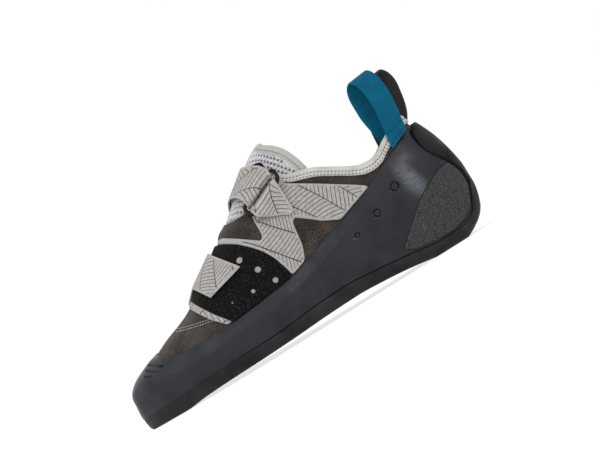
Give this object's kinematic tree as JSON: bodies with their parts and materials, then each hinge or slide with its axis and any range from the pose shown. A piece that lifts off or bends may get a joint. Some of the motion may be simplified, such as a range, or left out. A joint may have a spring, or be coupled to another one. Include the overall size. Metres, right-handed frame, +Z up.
{
  "type": "climbing shoe",
  "caption": "Left climbing shoe with a rubber rand, suede upper, printed overlays, straps folded back through rings and webbing pull loops at the heel.",
  "frame": {"origin": "on the floor under the middle of the shoe's bounding box", "axes": "+X towards the heel, -Y towards the outer side of the foot, +Z up"},
  "size_m": [0.2682, 0.0952, 0.1276],
  "materials": {
    "suede": "napped suede",
    "rand_rubber": "satin, lightly scuffed",
    "sole_rubber": "matt",
    "heel_texture": "fine raised speckle",
    "insole_board": "felted board",
    "tongue_mesh": "open mesh",
    "trim_fabric": "microfibre",
    "overlay_fabric": "printed microfibre",
    "loop_fabric": "loop pile",
    "teal_webbing": "woven",
    "black_webbing": "woven",
    "black_ring": "satin"
  },
  "bodies": {
    "root": {"upper": "suede", "rand": "rand_rubber", "outsole": "sole_rubber", "heel_strip": "sole_rubber", "heel_patch_lateral": "heel_texture", "heel_patch_medial": "heel_texture", "insole": "insole_board", "tongue": "tongue_mesh", "collar_binding": "trim_fabric", "side_overlay_lateral": "overlay_fabric", "side_overlay_medial": "overlay_fabric", "lower_strap_pad": "loop_fabric", "lower_strap_trim": "overlay_fabric", "lower_strap": "overlay_fabric", "upper_strap": "overlay_fabric", "ring_keeper_lateral": "overlay_fabric", "ring_keeper_medial": "overlay_fabric", "ring_lateral": "black_ring", "ring_medial": "black_ring", "pull_loop_lateral": "teal_webbing", "pull_loop_medial": "black_webbing"}
  },
  "joints": []
}
